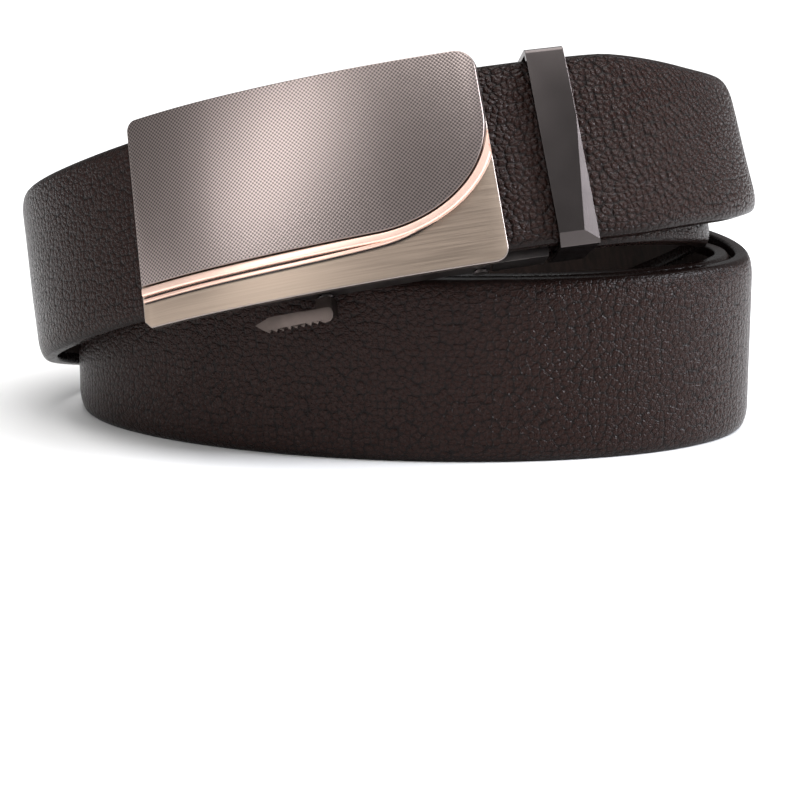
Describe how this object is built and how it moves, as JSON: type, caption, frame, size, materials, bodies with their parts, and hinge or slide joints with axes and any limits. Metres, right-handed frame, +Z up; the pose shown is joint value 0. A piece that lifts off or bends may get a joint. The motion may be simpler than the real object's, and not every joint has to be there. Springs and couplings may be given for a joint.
{
  "type": "dress belt",
  "caption": "Coiled leather dress belt, closed on its ratchet buckle, with a curved metal face, a release lever, a strap clamp and a keeper loop.",
  "frame": {"origin": "middle of the belt's box at the level of the surface that the coil stands on", "axes": "+Z up, across the strap's width; +X along the coil's length, from the buckle's side towards the tip; the buckle faces -Y"},
  "size_m": [0.1504, 0.11, 0.0772],
  "materials": {
    "leather": "dark brown pebbled grain, semi-matt",
    "track_plastic": "moulded black plastic",
    "plated_steel": "dark nickel plated",
    "brushed_plate": "pale nickel, brushed along its length",
    "woven_metal": "dark plated, fine diagonal weave",
    "rose_metal": "polished rose plating",
    "dark_metal": "polished dark plating"
  },
  "bodies": {
    "belt": {"strap": "leather", "ratchet_track": "track_plastic", "buckle_frame": "plated_steel", "base_plate": "brushed_plate", "textured_panel": "woven_metal", "curved_trim": "rose_metal", "trim_bead": "rose_metal", "strap_clamp": "plated_steel", "hinge_pin": "plated_steel", "keeper_loop": "dark_metal"},
    "lever": {"release_lever": "plated_steel", "pawl": "plated_steel", "pivot_pin": "plated_steel"}
  },
  "joints": [
    {"name": "lever_pivot", "type": "hinge", "parent": "belt", "child": "lever", "pos_m": [-0.01188, -0.0358, 0.04945], "axis": [-0.1312, 0.3813, 0.9151], "range_deg": [0, 18], "stiffness_Nm_per_rad": 0.03, "springref_deg": -11.46}
  ]
}
